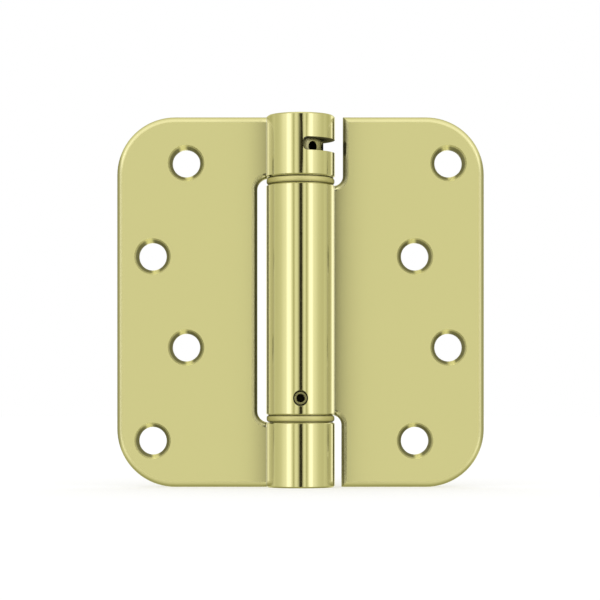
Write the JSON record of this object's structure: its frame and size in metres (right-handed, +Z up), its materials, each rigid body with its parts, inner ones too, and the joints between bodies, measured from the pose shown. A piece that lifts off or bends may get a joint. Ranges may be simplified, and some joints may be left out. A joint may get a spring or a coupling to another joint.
{
  "type": "spring hinge",
  "caption": "Butt hinge opened flat, with round corners, staggered countersunk screw holes and a barrel that hides its closing spring and tension collar.",
  "frame": {"origin": "on the pin axis, level with the lower end of the leaves and barrel", "axes": "+Z up along the pin, +X towards the swinging leaf's outer edge, -Y the way the countersunk faces look"},
  "size_m": [0.1008, 0.0188, 0.1016],
  "materials": {
    "leaf_plate": "polished pale brass plate over steel sheet",
    "turned_brass": "turned and polished pale brass",
    "cap_plate": "polished pale brass plate on the barrel's end discs",
    "spring_steel": "oiled spring wire and ground rod"
  },
  "bodies": {
    "fixed": {"fixed_leaf": "leaf_plate", "lower_pivot": "turned_brass", "pivot_rod": "spring_steel", "rod_clip": "spring_steel", "top_cap": "cap_plate", "bottom_cap": "cap_plate"},
    "swing": {"swing_leaf": "leaf_plate", "lower_bearing": "turned_brass", "upper_bearing": "turned_brass", "spring_anchor": "turned_brass", "anchor_pin": "turned_brass", "torsion_spring": "spring_steel"},
    "adjuster": {"tension_adjuster": "turned_brass"}
  },
  "joints": [
    {"name": "leaf_swing", "type": "hinge", "parent": "fixed", "child": "swing", "pos_m": [0, 0, 0.0508], "axis": [0, 0, -1], "range_deg": [0, 180], "deforming": ["torsion_spring"]},
    {"name": "tension_turn", "type": "hinge", "parent": "fixed", "child": "adjuster", "pos_m": [0, 0, 0.0508], "axis": [0, 0, -1], "range_deg": [0, 225], "deforming": ["torsion_spring"]}
  ]
}
